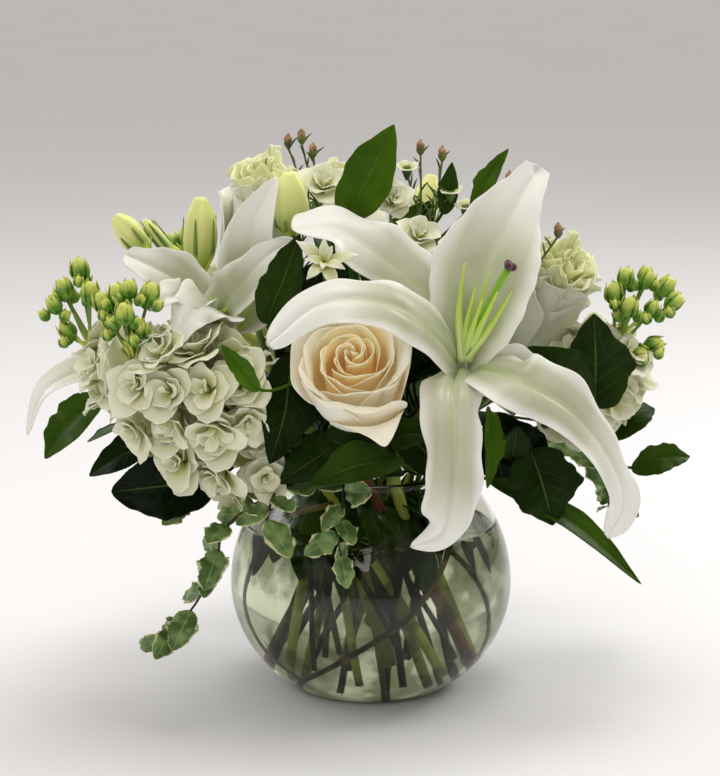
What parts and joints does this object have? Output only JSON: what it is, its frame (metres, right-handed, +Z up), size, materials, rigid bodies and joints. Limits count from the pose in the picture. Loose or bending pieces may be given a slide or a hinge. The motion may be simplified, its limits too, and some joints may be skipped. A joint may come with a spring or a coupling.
{
  "type": "floral table centerpiece",
  "caption": "Round bouquet of white lilies, cream roses, stock, lisianthus, star flowers, waxflower and dark leaves, standing in a glass bubble bowl of water.",
  "frame": {"origin": "middle of the bowl's flat foot, on the surface it stands on", "axes": "+Z up; the front of the bouquet looks along -Y, and +X is to the right as seen from the front"},
  "size_m": [0.341, 0.2942, 0.306],
  "materials": {
    "glass": "clear blown glass, glossy",
    "water": "still water, faintly green",
    "petal_white": "soft matt white petal",
    "petal_cream": "soft matt cream petal, peach in the heart",
    "petal_green_white": "soft matt white petal with a lime edge",
    "stamen_green": "waxy lime green",
    "stigma_purple": "velvety dark purple",
    "stem_green": "satin fresh green",
    "leaf_dark": "leathery dark green, waxy sheen",
    "leaf_variegated": "grey green leaf with a cream edge",
    "wax_green": "wiry green with pinkish buds",
    "twig_bark": "smooth olive brown bark"
  },
  "bodies": {
    "root": {"bowl": "glass", "coiled_twig": "twig_bark", "lily_1_petals": "petal_white", "lily_1_stamens": "stamen_green", "lily_1_stem": "stem_green", "lily_1_stigma": "stigma_purple", "lily_2_petals": "petal_white", "lily_2_stamens": "stamen_green", "lily_2_stem": "stem_green", "lily_2_stigma": "stigma_purple", "lisianthus_1_petals": "petal_green_white", "lisianthus_1_stem": "stem_green", "lisianthus_2_petals": "petal_green_white", "lisianthus_2_stem": "stem_green", "lisianthus_3_petals": "petal_green_white", "lisianthus_3_stem": "stem_green", "pittosporum_1": "leaf_variegated", "pittosporum_2": "leaf_variegated", "pittosporum_3": "leaf_variegated", "rose_1_petals": "petal_cream", "rose_1_stem": "stem_green", "rose_2_petals": "petal_cream", "rose_2_stem": "stem_green", "salal_1": "leaf_dark", "salal_2": "leaf_dark", "salal_3": "leaf_dark", "salal_4": "leaf_dark", "salal_5": "leaf_dark", "salal_6": "leaf_dark", "salal_7": "leaf_dark", "salal_8": "leaf_dark", "stars_1_flower_1": "petal_white", "stars_1_flower_2": "petal_white", "stars_1_stem": "stem_green", "stars_2_flower_1": "petal_white", "stars_2_flower_2": "petal_white", "stars_2_stem": "stem_green", "stock_1_florets": "petal_white", "stock_1_stem": "stem_green", "stock_2_florets": "petal_white", "stock_2_stem": "stem_green", "stock_3_florets": "petal_white", "stock_3_stem": "stem_green", "stock_4_florets": "petal_white", "stock_4_stem": "stem_green", "water": "water", "waxflower_1": "wax_green", "waxflower_2": "wax_green", "waxflower_3": "wax_green", "waxflower_4": "wax_green"}
  },
  "joints": []
}
